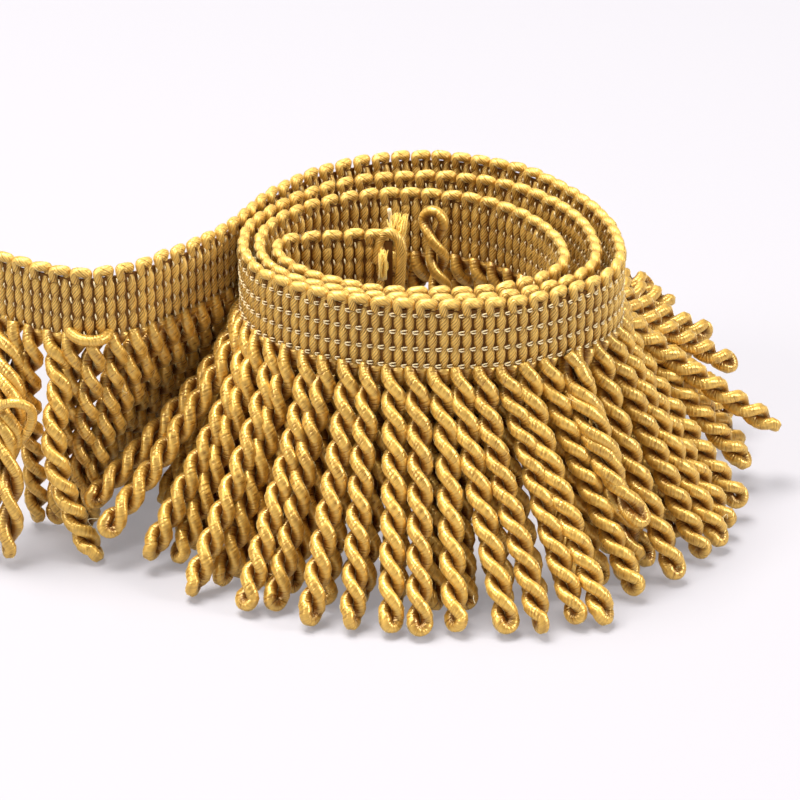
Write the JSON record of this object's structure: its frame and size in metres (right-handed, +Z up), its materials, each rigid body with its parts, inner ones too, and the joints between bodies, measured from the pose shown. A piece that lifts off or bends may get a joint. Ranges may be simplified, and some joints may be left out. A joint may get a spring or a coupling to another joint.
{
  "type": "cord fringe trim",
  "caption": "Twisted cord bullion fringe on a knitted cord heading with top loops, loosely wound and standing on its fringe, with a loose tail.",
  "frame": {"origin": "middle of the whole trim's base, on the surface that the fringe stands on", "axes": "+Z up; +X along the trim's longest extent, from the loose tail to the roll; +Y from the front of the roll to its back"},
  "size_m": [0.1994, 0.1742, 0.075],
  "materials": {
    "heading_cord": "satin gimp cord held by rows of ivory chain stitch",
    "bullion_cord": "satin gimp cord, doubled and twisted"
  },
  "bodies": {
    "root": {"heading": "heading_cord", "fringe": "bullion_cord"}
  },
  "joints": []
}
